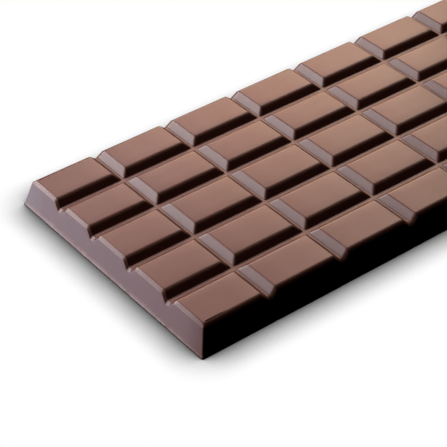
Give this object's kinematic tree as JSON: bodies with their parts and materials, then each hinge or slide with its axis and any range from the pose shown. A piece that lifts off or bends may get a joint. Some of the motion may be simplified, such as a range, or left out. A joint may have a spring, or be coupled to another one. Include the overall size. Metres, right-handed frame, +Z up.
{
  "type": "chocolate bar",
  "caption": "Flat moulded bar of plain brown chocolate with sloped sides, cut by shallow grooves into rows of low oblong pieces to break off.",
  "frame": {"origin": "centre of the flat underside, on the surface that the bar lies on", "axes": "+X along the bar's length, +Y across its width, +Z up out of the grooved face"},
  "size_m": [0.201, 0.087, 0.0088],
  "materials": {
    "chocolate": "satin"
  },
  "bodies": {
    "root": {"chocolate_bar": "chocolate"}
  },
  "joints": []
}
